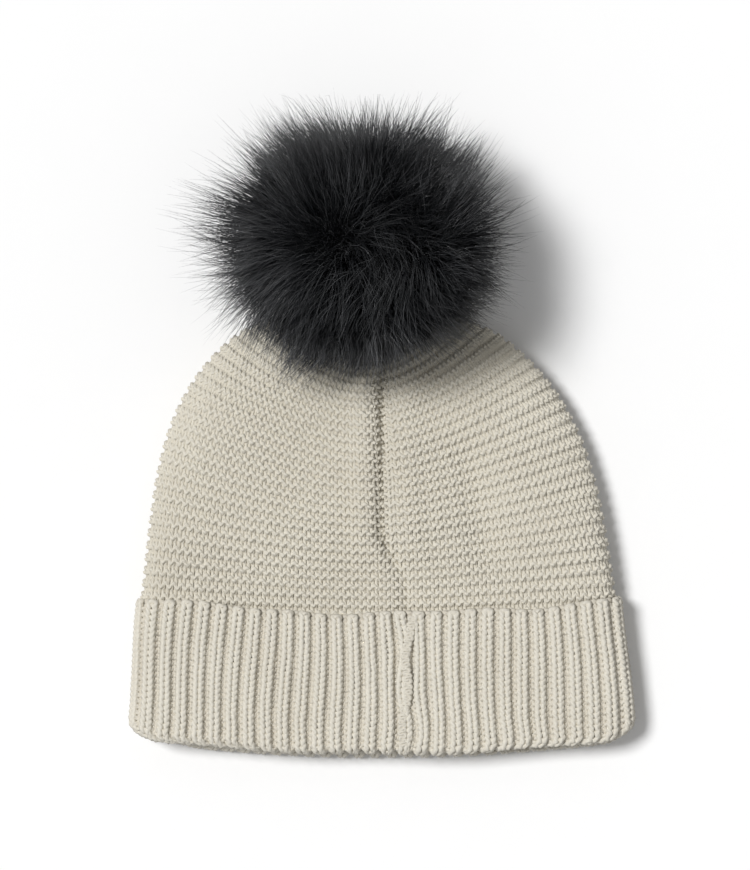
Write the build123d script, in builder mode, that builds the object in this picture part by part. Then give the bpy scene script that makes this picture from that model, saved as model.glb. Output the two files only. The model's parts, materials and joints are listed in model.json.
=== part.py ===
from build123d import *
import os
from math import asin, cos, degrees, hypot, radians, sin

# A knitted pom pom beanie lying flat on a table with its back seam up. Millimetres.
# +X is the wearer's width, +Y runs from the turned-up hem to the pom, +Z is up from
# the table. The origin is on the table, under the middle of the whole hat. The heights
# named *_rise are measured along Y from the lowest point of the hem.

# ---- Knit ----------------------------------------------------------------------
knit = 3.6                  # thickness of one layer of the chunky knit
layer_gap = 0.3             # air between layers that slide over each other
soft_gap = 0.3              # air between a moving piece and the knit around it
face_trim = 0.05            # cut off the cuff above and below, so that it lies on a true flat

# ---- Crown: the garter-stitch bag above the rib ------------------------------------
crown_depth = 18.0          # outside to outside of the two layers, lying flat
crown_half_width = 112.0    # at the foot, under the cuff
skirt_taper = 6.0           # the sides come in this much before they turn into the shoulders
shoulder_taper = 37.5       # and this much where the shoulders meet the flatter top
crown_foot_rise = 61.0
skirt_rise = 121.0
shoulder_rise = 187.5
apex_rise = 219.0
crown_lean = -2.5           # the crown has slumped this far along X
apex_x = -8.0
edge_flat = 0.5             # half the straight strip left between two edge rounds

# ---- Rib band and the cuff turned up over it -----------------------------------------
cuff_ease = 0.4             # between the band and the cuff's head, to each side
cuff_flare = 5.0            # the cuff's foot stands out this much more than its head
cuff_height = 68.5
hem_bow = 8.0               # the hem's ends stand this much above its middle
hem_corner = 9.0            # plan radius where the hem meets the sides
hem_round = 3.0             # rounding of the fold itself

# ---- Back seam ------------------------------------------------------------------------
seam_width = 5.0            # the two panel edges, turned in side by side
seam_height = 2.0
seam_thread_width = 1.2
seam_thread_height = 0.5
cuff_seam_width = 1.6
cuff_seam_depth = 0.8
cuff_seam_play = 0.1
crown_seam_x = 0.0
rib_seam_x = 12.0
cuff_seam_foot_x = 10.0
seam_shift_rise = 98.0      # above this the seam runs straight up the crown
seam_top_rise = 184.0

# ---- Care label --------------------------------------------------------------------------
label_length = 36.0
label_width = 22.0
label_thickness = 0.6
label_rise = 20.0
tack_length = 3.0
tack_width = 0.8
tack_height = 0.4

# ---- Crown gather and the snap that holds the pom ----------------------------------------
gather_length = 26.0
gather_thickness = 4.0
drawstring_radius = 0.8
stem_angle = 53.0           # degrees above the table, from the crown to the pom
snap_sink = 5.0             # the snap's flat seat lies this deep in the gather's round
stud_plate_radius = 5.2
stud_plate = 0.8
stud_tail_radius = 1.4
stud_neck_radius = 1.9
stud_head_radius = 2.3
stud_neck = 1.8
stud_head = 1.4
stud_flare_radius = 2.6
stud_flare = 0.5
rivet_play = 0.1
cap_thickness = 1.0
cap_play = 0.3
socket_gap = 0.4            # between the stud's plate and the socket
socket_radius = 5.1
socket_height = 4.2
socket_play = 0.3           # radial, around the stud's head
ring_wire = 0.35            # radius of the sprung wire
ring_inset = 0.1            # the relaxed ring sits this far outside the bore
ring_play = 0.15
ring_split = 24.0           # degrees left open in the sprung ring

# ---- Pom -----------------------------------------------------------------------------------
pom_half_width = 66.0
pom_half_depth = 45.0       # along the stem
pom_base_share = 0.82       # share of the half depth kept below the pom's centre
pom_clearance = 3.0         # between the pile and the crown that it nods over
side_pile = 28.0            # pile over the stuffing, to the sides
end_pile = 18.0             # pile over the stuffing, along the stem
backing = 1.5               # the pile's woven backing at the mouth of the pom
mouth_radius = 13.5
neck_wall = 1.2
disc_thickness = 1.5
disc_play = 0.3
socket_rivet_radius = 1.5
socket_rivet_head_radius = 3.0
socket_rivet_head = 1.0
gather_thread_radius = 0.6
stuffing_gap = 0.3

# ---- Places worked out from the sizes above --------------------------------------------
cuff_wall = knit + layer_gap
cuff_depth = crown_depth + 2 * cuff_wall
middle_z = cuff_depth / 2
crown_base_z = cuff_wall
skirt_half_width = crown_half_width - skirt_taper
shoulder_half_width = crown_half_width - shoulder_taper
cuff_half_width_head = crown_half_width + cuff_ease + knit
cuff_half_width_foot = cuff_half_width_head + cuff_flare
crown_top_z = crown_base_z + crown_depth
lining_z = crown_top_z - knit
edge_round = crown_depth / 2 - edge_flat
cavity_round = edge_round - knit
band_foot_rise = knit + layer_gap

gather_radius = crown_depth / 2
gather_rise = apex_rise - gather_radius
snap_face = gather_radius - snap_sink
stem_rise, stem_lift = cos(radians(stem_angle)), sin(radians(stem_angle))
pom_half_height = hypot(pom_half_width * stem_rise, pom_half_depth * stem_lift)
pom_half_length = hypot(pom_half_width * stem_lift, pom_half_depth * stem_rise)
pom_reach = (pom_half_height - middle_z) / stem_lift
pom_base = max(gather_radius + pom_clearance, pom_reach - pom_base_share * pom_half_depth)
overall_length = gather_rise + pom_reach * stem_rise + pom_half_length
hem_y = -overall_length / 2

stud_top = snap_face + stud_plate + stud_neck + stud_head
socket_foot = snap_face + stud_plate + socket_gap
socket_head = socket_foot + socket_height
socket_bore_radius = stud_head_radius + socket_play
ring_radius = socket_bore_radius + ring_inset + ring_wire
ring_reach = snap_face + stud_plate + stud_neck - ring_wire
disc_foot = socket_head + backing
disc_head = disc_foot + disc_thickness
stuffing_foot = disc_head + socket_rivet_head + stuffing_gap

gather_centre = Vector(apex_x, hem_y + gather_rise, middle_z)
stem_axis = Axis(gather_centre, (0, stem_rise, stem_lift))
# Drawing plane of every turned piece: local X is the radius, local Y runs up the stem.
stem_section = Plane(gather_centre, x_dir=(1, 0, 0), z_dir=(0, -stem_lift, stem_rise))

lead_in = 20.0              # how far cutting tools run past the edge that they open


def level(height):
    """Plane parallel to the table whose origin is at the hem."""
    return Plane((0, hem_y, height))


def crown_outline(inset=0.0):
    """Plan of the crown: straight skirt, rounded shoulders and a flatter top.

    It runs on below the crown's foot, where the solids made from it are cut off.
    """
    skirt_lean = crown_lean * (skirt_rise - crown_foot_rise) / (shoulder_rise - crown_foot_rise)
    left_skirt = (skirt_lean - skirt_half_width, skirt_rise)
    right_skirt = (skirt_lean + skirt_half_width, skirt_rise)
    run_on = lead_in / (skirt_rise - crown_foot_rise)
    left_foot_x = -crown_half_width - run_on * (left_skirt[0] + crown_half_width)
    right_foot_x = crown_half_width + run_on * (crown_half_width - right_skirt[0])
    with BuildSketch(level(0)) as plan:
        with BuildLine():
            top = ThreePointArc(
                (crown_lean - shoulder_half_width, shoulder_rise),
                (apex_x, apex_rise),
                (crown_lean + shoulder_half_width, shoulder_rise),
            )
            TangentArc(top @ 0, left_skirt, tangent=-(top % 0))
            TangentArc(top @ 1, right_skirt, tangent=top % 1)
            Polyline(
                left_skirt,
                (left_foot_x, crown_foot_rise - lead_in),
                (right_foot_x, crown_foot_rise - lead_in),
                right_skirt,
            )
        make_face()
        if inset:
            offset(amount=-inset, kind=Kind.INTERSECTION)
    return plan.sketch


def bag(inset, rounding):
    """Flat-lying bag of the crown's plan with rounded rims, cut off square at its foot."""
    with BuildPart() as solid:
        extrude(crown_outline(inset), amount=crown_depth - 2 * inset)
        fillet(solid.faces().filter_by(Axis.Z).edges(), rounding)
    return solid.part.moved(Location((0, 0, crown_base_z + inset)))


def bowed_plan(half_width, foot_rise, head_rise, head_bow):
    """Plan of a band whose foot, and head if it has a bow, curve up at both ends."""
    foot_end, head_end = foot_rise + hem_bow, head_rise + head_bow
    with BuildSketch(level(0)) as plan:
        with BuildLine():
            foot = ThreePointArc((-half_width, foot_end), (0, foot_rise), (half_width, foot_end))
            if head_bow:
                head = ThreePointArc((-half_width, head_end), (0, head_rise), (half_width, head_end))
            else:
                head = Line((-half_width, head_end), (half_width, head_end))
            Line(foot @ 0, head @ 0)
            Line(foot @ 1, head @ 1)
        make_face()
    return plan.sketch


def flat_tube(foot_half_width, head_half_width, depth, foot_rise, head_rise):
    """Lying tube with rounded sides that narrows evenly from its foot to its head."""
    with BuildPart() as tube:
        for rise, half_width in ((foot_rise, foot_half_width), (head_rise, head_half_width)):
            with BuildSketch(Plane((0, hem_y + rise, middle_z), x_dir=(1, 0, 0), z_dir=(0, -1, 0))):
                SlotOverall(2 * half_width, depth)
        loft(ruled=True)
    return tube.part


def strip_plan(height, points, width):
    """Plan of a strip of even width along a line of points."""
    with BuildSketch(level(height)) as plan:
        with BuildLine() as middle:
            Polyline(*points)
        trace(middle.line, line_width=width)
    return plan.sketch


def stem_plane(reach):
    """Plane square to the stem, as far up it as reach."""
    return Plane(gather_centre + stem_axis.direction * reach, x_dir=(1, 0, 0), z_dir=stem_axis.direction)


def turned(steps, bores=()):
    """Stack of cylinders on the stem, each (radius, foot, head), less the bores."""
    with BuildPart() as stack:
        for mode, cylinders in ((Mode.ADD, steps), (Mode.SUBTRACT, bores)):
            for radius, foot, head in cylinders:
                with BuildSketch(stem_plane(foot)) as end:
                    Circle(radius)
                extrude(end.sketch, amount=head - foot, mode=mode)
    return stack.part


def wire_ring(middle_radius, wire_radius, reach, arc=360.0):
    """Round wire bent about the stem, as far up it as reach."""
    with BuildPart() as turned:
        with BuildSketch(stem_section):
            with Locations((middle_radius, reach)):
                Circle(wire_radius)
        revolve(axis=stem_axis, revolution_arc=arc)
    return turned.part


def oval_rim(half_width, half_depth, start_angle):
    """Edge of the pom's oval half section, from an angle about its middle up to its top."""
    angles = [start_angle + (90 - start_angle) * share for share in [step / 8 for step in range(9)]]
    points = [
        (half_width * cos(radians(angle)), pom_reach + half_depth * sin(radians(angle)))
        for angle in angles
    ]
    start_way = (-half_width * sin(radians(start_angle)), half_depth * cos(radians(start_angle)))
    return Spline(points[:-1] + [(0, pom_reach + half_depth)], tangents=(start_way, (-1, 0)))


def stuffing_section(gap):
    """Half section of the stuffing, grown by a gap for the hollow that it fills."""
    half_width = pom_half_width - side_pile + gap
    half_depth = pom_half_depth - end_pile + gap
    foot_radius = mouth_radius - neck_wall - stuffing_gap + gap
    foot = (foot_radius, stuffing_foot - gap)
    shoulder = (foot_radius, pom_base + backing + stuffing_gap - gap)
    with BuildSketch(stem_section) as section:
        with BuildLine():
            crest = oval_rim(half_width, half_depth, 0)
            TangentArc(crest @ 0, shoulder, tangent=(0, -1))
            Polyline(shoulder, foot, (0, foot[1]), crest @ 1)
        make_face()
    return section.sketch


def finish(piece, label):
    """Label a finished piece and write it to its own file."""
    piece.part.label = label
    export_step(piece.part, f"parts/{label}.step")


os.makedirs("parts", exist_ok=True)

# ==== Crown: the garter-stitch bag, with a pocket for its gathered apex ===============
with BuildPart() as gather_pocket:
    with BuildSketch(Plane(gather_centre, x_dir=(0, 1, 0), z_dir=(1, 0, 0))):
        Circle(gather_radius + soft_gap)
        with Locations((lead_in / 2, 0)):
            Rectangle(lead_in, crown_depth + 2 * soft_gap)
    extrude(amount=gather_length / 2 + soft_gap, both=True)

with BuildPart() as crown_body:
    add(bag(0.0, edge_round))
    add(bag(knit, cavity_round), mode=Mode.SUBTRACT)
    split(bisect_by=Plane((0, hem_y + crown_foot_rise, 0), z_dir=(0, 1, 0)), keep=Keep.TOP)
    add(gather_pocket.part, mode=Mode.SUBTRACT)
finish(crown_body, "crown_body")

# ==== Rib band: the inner layer of the rib, from the fold up to the crown ===============
cavity_half_width = crown_half_width - knit
cavity_depth = crown_depth - 2 * knit
mouth = flat_tube(cavity_half_width, cavity_half_width, cavity_depth, -lead_in, skirt_rise)

with BuildPart() as inner_band:
    add(flat_tube(crown_half_width, crown_half_width, crown_depth, 0, skirt_rise))
    band_plan = bowed_plan(cuff_half_width_foot, band_foot_rise, crown_foot_rise, 0)
    extrude(band_plan, amount=cuff_depth, mode=Mode.INTERSECT)
    add(mouth, mode=Mode.SUBTRACT)
finish(inner_band, "inner_band")

# ==== Cuff: the outer layer of the rib and the fold that it hangs from ====================
cuff_head_rise = cuff_height + hem_bow
bore_half_widths = cuff_half_width_foot - knit, cuff_half_width_head - knit
with BuildPart() as cuff_bore:
    add(flat_tube(*bore_half_widths, crown_depth + 2 * layer_gap, 0, cuff_head_rise))
    bore_plan = bowed_plan(cuff_half_width_foot, knit, cuff_head_rise, 0)
    extrude(bore_plan, amount=cuff_depth, mode=Mode.INTERSECT)

cuff_seam_line = (
    (cuff_seam_foot_x, hem_round),
    (rib_seam_x + (rib_seam_x - cuff_seam_foot_x), cuff_head_rise),
)
cuff_seam_bed_z = cuff_depth - cuff_seam_depth
with BuildPart() as turned_up_cuff:
    proud_depth = cuff_depth + 2 * face_trim
    add(flat_tube(cuff_half_width_foot, cuff_half_width_head, proud_depth, 0, cuff_head_rise))
    cuff_plan = bowed_plan(cuff_half_width_foot + hem_corner, 0, cuff_height, hem_bow)
    extrude(cuff_plan, amount=cuff_depth, mode=Mode.INTERSECT)
    folds = turned_up_cuff.edges().filter_by(GeomType.CIRCLE).filter_by(
        lambda edge: edge.center().Y < hem_y + hem_bow and edge.length > cuff_half_width_foot
    )
    fillet(folds, hem_round)
    add(cuff_bore.part, mode=Mode.SUBTRACT)
    add(mouth, mode=Mode.SUBTRACT)
    groove_plan = strip_plan(cuff_seam_bed_z, cuff_seam_line, cuff_seam_width + 2 * cuff_seam_play)
    extrude(groove_plan, amount=knit, mode=Mode.SUBTRACT)
finish(turned_up_cuff, "turned_up_cuff")

with BuildPart() as cuff_seam_yarn:
    extrude(strip_plan(cuff_seam_bed_z, cuff_seam_line, cuff_seam_width), amount=cuff_seam_depth)
    inner_plan = bowed_plan(cuff_half_width_foot, hem_round, cuff_height, hem_bow)
    extrude(inner_plan, amount=cuff_depth, mode=Mode.INTERSECT)
finish(cuff_seam_yarn, "cuff_seam_yarn")

# ==== Back seam: the panel's two edges, turned in and linked, under the upper layer ========
seam_line = (
    (cuff_seam_foot_x, band_foot_rise + seam_height),
    (rib_seam_x, crown_foot_rise),
    (crown_seam_x, seam_shift_rise),
    (crown_seam_x, seam_top_rise),
)
seam_foot_z = lining_z - seam_height
with BuildPart() as back_seam_allowance:
    extrude(strip_plan(seam_foot_z, seam_line, seam_width), amount=seam_height)
finish(back_seam_allowance, "back_seam_allowance")

with BuildPart() as back_seam_thread:
    thread_plan = strip_plan(seam_foot_z - seam_thread_height, seam_line, seam_thread_width)
    extrude(thread_plan, amount=seam_thread_height)
finish(back_seam_thread, "back_seam_thread")

# ==== Care label, sewn by one end into the seam inside the band =============================
label_centre = (
    cuff_seam_foot_x - seam_width / 2 - label_length / 2,
    label_rise + label_width / 2,
)
with BuildPart() as care_label:
    with BuildSketch(level(lining_z - label_thickness)):
        with Locations(label_centre):
            Rectangle(label_length, label_width)
    extrude(amount=label_thickness)
finish(care_label, "care_label")

with BuildPart() as label_tacks:
    with BuildSketch(level(lining_z - label_thickness - tack_height)):
        with Locations(label_centre):
            with GridLocations(label_length - 2 * tack_length, label_width - 2 * tack_length, 2, 2):
                Rectangle(tack_length, tack_width)
    extrude(amount=tack_height)
finish(label_tacks, "label_tacks")

# ==== Crown gather: the drawn-in apex, a soft knuckle that lets the pom nod ===================
cap_head = snap_face - gather_thickness
cap_foot = cap_head - cap_thickness
with BuildPart() as crown_gather:
    with BuildSketch(Plane(gather_centre, x_dir=(0, 1, 0), z_dir=(1, 0, 0))):
        Circle(gather_radius)
    extrude(amount=gather_length / 2, both=True)
    split(bisect_by=stem_plane(snap_face), keep=Keep.BOTTOM)
    add(
        turned([
            (stud_plate_radius + cap_play, -crown_depth, cap_head),
            (stud_tail_radius + rivet_play, cap_head, snap_face),
        ]),
        mode=Mode.SUBTRACT,
    )
finish(crown_gather, "crown_gather")

with BuildPart() as crown_drawstring:
    drawstring_ring = stud_plate_radius + soft_gap + drawstring_radius
    add(wire_ring(drawstring_ring, drawstring_radius, snap_face + drawstring_radius))
finish(crown_drawstring, "crown_drawstring")

# ==== Snap: cap and stud riveted through the gather, sprung ring, socket on the pom ============
with BuildPart() as snap_backing_cap:
    add(
        turned(
            [(stud_plate_radius, cap_foot, cap_head)],
            [(stud_tail_radius + rivet_play, cap_foot, cap_head)],
        )
    )
finish(snap_backing_cap, "snap_backing_cap")

neck_foot = snap_face + stud_plate
head_foot = neck_foot + stud_neck
with BuildPart() as snap_stud:
    add(
        turned([
            (stud_flare_radius, cap_foot - stud_flare, cap_foot),
            (stud_tail_radius, cap_foot, snap_face),
            (stud_plate_radius, snap_face, neck_foot),
            (stud_neck_radius, neck_foot, head_foot),
            (stud_head_radius, head_foot, stud_top),
        ])
    )
    fillet(snap_stud.edges().sort_by(stem_axis)[-1], stud_head / 2)
finish(snap_stud, "snap_stud")

with BuildPart() as snap_spring_ring:
    add(wire_ring(ring_radius, ring_wire, ring_reach, arc=360 - ring_split))
finish(snap_spring_ring, "snap_spring_ring")

groove_radius = ring_radius + ring_wire + ring_play
groove_half_height = ring_wire + ring_play
with BuildPart() as snap_socket:
    add(
        turned(
            [
                (socket_radius, socket_foot, socket_head),
                (socket_rivet_radius, socket_head, disc_head),
                (socket_rivet_head_radius, disc_head, disc_head + socket_rivet_head),
            ],
            [
                (socket_bore_radius, socket_foot, stud_top + socket_play),
                (groove_radius, ring_reach - groove_half_height, ring_reach + groove_half_height),
            ],
        )
    )
finish(snap_socket, "snap_socket")

# ==== Pom: pile shell gathered round its stuffing, with a stiff disc at its mouth ===============
rivet_bore = (socket_rivet_radius + rivet_play, socket_head, disc_head)
with BuildPart() as pom_base_disc:
    disc_radius = mouth_radius - neck_wall - disc_play
    add(turned([(disc_radius, disc_foot, disc_head)], [rivet_bore]))
finish(pom_base_disc, "pom_base_disc")

base_angle = degrees(asin((pom_base - pom_reach) / pom_half_depth))
with BuildPart() as pom_fur_shell:
    with BuildSketch(stem_section):
        with BuildLine():
            pile = oval_rim(pom_half_width, pom_half_depth, base_angle)
            Polyline(
                pile @ 0,
                (mouth_radius, pom_base),
                (mouth_radius, socket_head),
                (0, socket_head),
                pile @ 1,
            )
        make_face()
    revolve(axis=stem_axis)
    revolve(stuffing_section(stuffing_gap), axis=stem_axis, mode=Mode.SUBTRACT)
    add(
        turned([(mouth_radius - neck_wall, disc_foot, stuffing_foot), rivet_bore]),
        mode=Mode.SUBTRACT,
    )
finish(pom_fur_shell, "pom_fur_shell")

with BuildPart() as pom_stuffing:
    revolve(stuffing_section(0.0), axis=stem_axis)
finish(pom_stuffing, "pom_stuffing")

with BuildPart() as pom_gather_thread:
    thread_ring = mouth_radius + gather_thread_radius
    add(wire_ring(thread_ring, gather_thread_radius, (socket_head + pom_base) / 2))
finish(pom_gather_thread, "pom_gather_thread")
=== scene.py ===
"""Looks of a knitted pom pom beanie that lies flat with its back seam up.

The crown is garter stitch and the band and cuff are one-by-one rib, all of them real loops of
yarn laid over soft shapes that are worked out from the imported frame. The pom is a dark padded
core with coats of tapered hairs. Sizes are in millimetres unless they say metres, and meshes
are written in metres. A rise is a distance from the hem's lowest point towards the pom.
"""

from __future__ import annotations

import json
import logging
import math
from collections.abc import Callable
from dataclasses import dataclass, field
from enum import Enum

import bpy
import numpy as np
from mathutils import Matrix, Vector


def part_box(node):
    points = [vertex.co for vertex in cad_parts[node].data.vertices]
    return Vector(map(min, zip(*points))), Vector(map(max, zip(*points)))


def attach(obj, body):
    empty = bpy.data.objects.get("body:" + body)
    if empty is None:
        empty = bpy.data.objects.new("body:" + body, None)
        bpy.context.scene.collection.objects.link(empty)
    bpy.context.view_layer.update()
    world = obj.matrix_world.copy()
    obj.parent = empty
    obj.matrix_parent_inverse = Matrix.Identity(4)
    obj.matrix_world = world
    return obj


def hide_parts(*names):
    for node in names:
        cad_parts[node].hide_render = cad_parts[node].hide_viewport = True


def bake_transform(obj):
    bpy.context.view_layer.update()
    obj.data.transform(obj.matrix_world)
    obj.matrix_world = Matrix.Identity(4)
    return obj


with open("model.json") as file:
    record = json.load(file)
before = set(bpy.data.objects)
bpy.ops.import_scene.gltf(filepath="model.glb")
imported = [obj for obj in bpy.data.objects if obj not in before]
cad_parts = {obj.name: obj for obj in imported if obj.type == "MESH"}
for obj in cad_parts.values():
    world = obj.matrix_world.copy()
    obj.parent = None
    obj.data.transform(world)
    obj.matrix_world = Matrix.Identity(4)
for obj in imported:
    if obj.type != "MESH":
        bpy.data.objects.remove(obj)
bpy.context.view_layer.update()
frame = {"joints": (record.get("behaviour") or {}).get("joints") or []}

LOG = logging.getLogger("beanie")
MM = 0.001
TURN = 2.0 * math.pi
RIGHT = np.array([1.0, 0.0, 0.0])
UP = np.array([0.0, 0.0, 1.0])
MARGIN_WALES = 2


# ---- Small shared tools -------------------------------------------------------------------


def smooth(value: np.ndarray | float, low: float, high: float) -> np.ndarray:
    """Ease from 0 at low to 1 at high.

    Args:
        value: Where to read the curve.
        low: Value at which it leaves 0.
        high: Value at which it reaches 1.

    Returns:
        The eased share, clamped to 0 and 1.
    """
    share = np.clip((np.asarray(value, float) - low) / (high - low), 0.0, 1.0)
    return share * share * (3.0 - 2.0 * share)


def plateau(
    value: np.ndarray | float, up: tuple[float, float], down: tuple[float, float]
) -> np.ndarray:
    """Ease up from 0 to 1 over one span and back to 0 over another."""
    return smooth(value, *up) * (1.0 - smooth(value, *down))


def hump(value: np.ndarray, middle: float | np.ndarray, reach: float) -> np.ndarray:
    """Bell curve of height 1 about a middle."""
    return np.exp(-(((value - middle) / reach) ** 2))


def box_mm(node: str) -> tuple[np.ndarray, np.ndarray]:
    """Lowest and highest corners of a CAD node, in millimetres."""
    low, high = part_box(node)
    return np.array(low) / MM, np.array(high) / MM


def joint(name: str) -> dict:
    """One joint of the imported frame."""
    return next(j for j in frame["joints"] if j["name"] == name)


def quads(index: np.ndarray) -> np.ndarray:
    """Faces between the neighbours in a grid of corner numbers."""
    corners = [index[:-1, :-1], index[:-1, 1:], index[1:, 1:], index[1:, :-1]]
    return np.stack(corners, axis=-1).reshape(-1, 4)


def new_piece(
    name: str, points: np.ndarray, faces: list, rounded: bool = True
) -> bpy.types.Object:
    """Object with a mesh of its own, linked to the scene.

    Args:
        name: Name of the object.
        points: Its corners, in millimetres, in any grid of [xyz].
        faces: Corner numbers of each face.
        rounded: True to shade it smooth.

    Returns:
        The object.
    """
    mesh = bpy.data.meshes.new(name)
    mesh.from_pydata((points.reshape(-1, 3) * MM).tolist(), [], faces)
    if rounded:
        mesh.shade_smooth()
    return link(name, mesh)


def link(name: str, mesh: bpy.types.Mesh) -> bpy.types.Object:
    """Put a mesh into the scene as an object."""
    piece = bpy.data.objects.new(name, mesh)
    bpy.context.scene.collection.objects.link(piece)
    return piece


def unit(ways: np.ndarray) -> np.ndarray:
    """Ways of length 1."""
    return ways / np.maximum(np.linalg.norm(ways, axis=-1, keepdims=True), 1e-9)


def sheet_mesh(rows: np.ndarray, name: str = "sheet") -> bpy.types.Object:
    """Open sheet through a grid of points, with a UV map and its own normals.

    Args:
        rows: Points as [along][across][xyz]; U runs across them and V along, from 0 to 1.
        name: Name of the object.

    Returns:
        The object, linked to the scene.
    """
    tall, wide = rows.shape[:2]
    faces = quads(np.arange(tall * wide).reshape(tall, wide))
    piece = new_piece(name, rows, faces.tolist(), rounded=False)
    uv = np.stack(np.meshgrid(np.linspace(0, 1, wide), np.linspace(0, 1, tall)), axis=-1)
    layer = piece.data.uv_layers.new(name="lay")
    corner_uv = uv.reshape(-1, 2)[faces.reshape(-1)]
    layer.data.foreach_set("uv", corner_uv.astype(np.float32).reshape(-1))
    normals = unit(np.cross(np.gradient(rows, axis=1), np.gradient(rows, axis=0)))
    out = piece.data.attributes.new("out", "FLOAT_VECTOR", "POINT")
    out.data.foreach_set("vector", normals.reshape(-1).astype(np.float32))
    return piece


def outward(grid: np.ndarray) -> np.ndarray:
    """Outward way at each point of a grid whose columns run round and meet themselves."""
    ends = np.concatenate([grid[:, -1:], grid, grid[:, :1]], axis=1)
    return unit(np.cross(np.gradient(ends, axis=1), np.gradient(ends, axis=0))[:, 1:-1])


def closed_shell(name: str, grid: np.ndarray, outer: float, inner: float) -> bpy.types.Object:
    """Closed wall under a tube of points that run round and meet themselves.

    Args:
        name: Name of the object.
        grid: Points as [along][round][xyz].
        outer: How far its outside lies under them.
        inner: How far its inside lies under them.

    Returns:
        The object, linked to the scene.
    """
    ways = outward(grid)
    skin = np.concatenate([grid - outer * ways, (grid - inner * ways)[::-1]], axis=0)
    index = np.arange(skin.shape[0] * skin.shape[1]).reshape(skin.shape[:2])
    return new_piece(name, skin, quads(np.pad(index, ((0, 1), (0, 1)), mode="wrap")).tolist())


def slab(name: str, upper: np.ndarray, lower: np.ndarray) -> bpy.types.Object:
    """Closed thin slab between two grids of points."""
    top = np.arange(upper.shape[0] * upper.shape[1]).reshape(upper.shape[:2])
    rim = np.concatenate([top[0, :-1], top[:-1, -1], top[-1, :0:-1], top[:0:-1, 0]])
    ahead = np.roll(rim, -1)
    walls = np.stack([rim, rim + top.size, ahead + top.size, ahead], axis=-1)
    base = quads(top + top.size)[:, [0, 3, 2, 1]]
    faces = np.concatenate([quads(top), base, walls])
    return new_piece(name, np.concatenate([upper, lower]), faces.tolist())


def turned_shell(
    name: str, centre: np.ndarray, axis: np.ndarray, profile: list[tuple[float, float]], sides: int
) -> bpy.types.Object:
    """Closed form turned about an axis from a profile that starts and ends on it.

    Args:
        name: Name of the object.
        centre: Point on the axis.
        axis: Way that the axis points.
        profile: (radius, reach along the axis) from the foot to the head; both ends have radius 0.
        sides: Points round it.

    Returns:
        The object.
    """
    angle = TURN * np.arange(sides) / sides
    spoke = np.cos(angle)[:, None] * RIGHT + np.sin(angle)[:, None] * np.cross(axis, RIGHT)
    rings = [centre + axis * reach + radius * spoke for radius, reach in profile[1:-1]]
    ends = [centre + axis * profile[0][1], centre + axis * profile[-1][1]]
    points = np.concatenate([*rings, ends])
    index = np.arange(len(rings) * sides).reshape(-1, sides)
    step, ahead = index[0], np.roll(index[0], -1)
    foot, head = np.full(sides, index.size), np.full(sides, index.size + 1)
    caps = np.stack(
        [np.stack([foot, ahead, step], 1), np.stack([head, index[-1], np.roll(index[-1], -1)], 1)], 1
    )
    faces = quads(np.pad(index, ((0, 0), (0, 1)), mode="wrap")).tolist()
    return new_piece(name, points, faces + caps.reshape(-1, 3).tolist())


def swell(
    piece: bpy.types.Object, centre: np.ndarray, share: Callable[[np.ndarray], np.ndarray]
) -> None:
    """Scale each corner of a piece about a centre, by a share read from its place."""
    out = np.array([v.co for v in piece.data.vertices]) / MM - centre
    points = centre + out * share(out)[:, None]
    piece.data.vertices.foreach_set("co", (points * MM).reshape(-1))


# ---- Node trees ---------------------------------------------------------------------------


@dataclass(frozen=True)
class Val:
    """Output of a node, which can be written in formulas: each step of one adds a node."""

    bench: Bench
    socket: bpy.types.NodeSocket

    def __add__(self, other: object) -> Val:
        """Sum of numbers, or of vectors."""
        return self.bench.calc("ADD", self, other)

    def __sub__(self, other: object) -> Val:
        """Difference from what follows."""
        return self.bench.calc("SUBTRACT", self, other)

    def __rsub__(self, other: object) -> Val:
        """Difference from what comes before."""
        return self.bench.calc("SUBTRACT", other, self)

    def __mul__(self, other: object) -> Val:
        """Product of numbers, or of a vector and a number."""
        return self.bench.calc("MULTIPLY", self, other)

    def __truediv__(self, other: object) -> Val:
        """Quotient of numbers."""
        return self.bench.calc("DIVIDE", self, other)

    def __pow__(self, other: object) -> Val:
        """Power of a number."""
        return self.bench.calc("POWER", self, other)

    def mad(self, factor: object, extra: object) -> Val:
        """This times a factor plus an extra, in one node."""
        return self.bench.calc("MULTIPLY_ADD", self, factor, extra)

    def is_vector(self) -> bool:
        """Whether it carries three numbers."""
        return self.socket.type in ("VECTOR", "RGBA")


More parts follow.
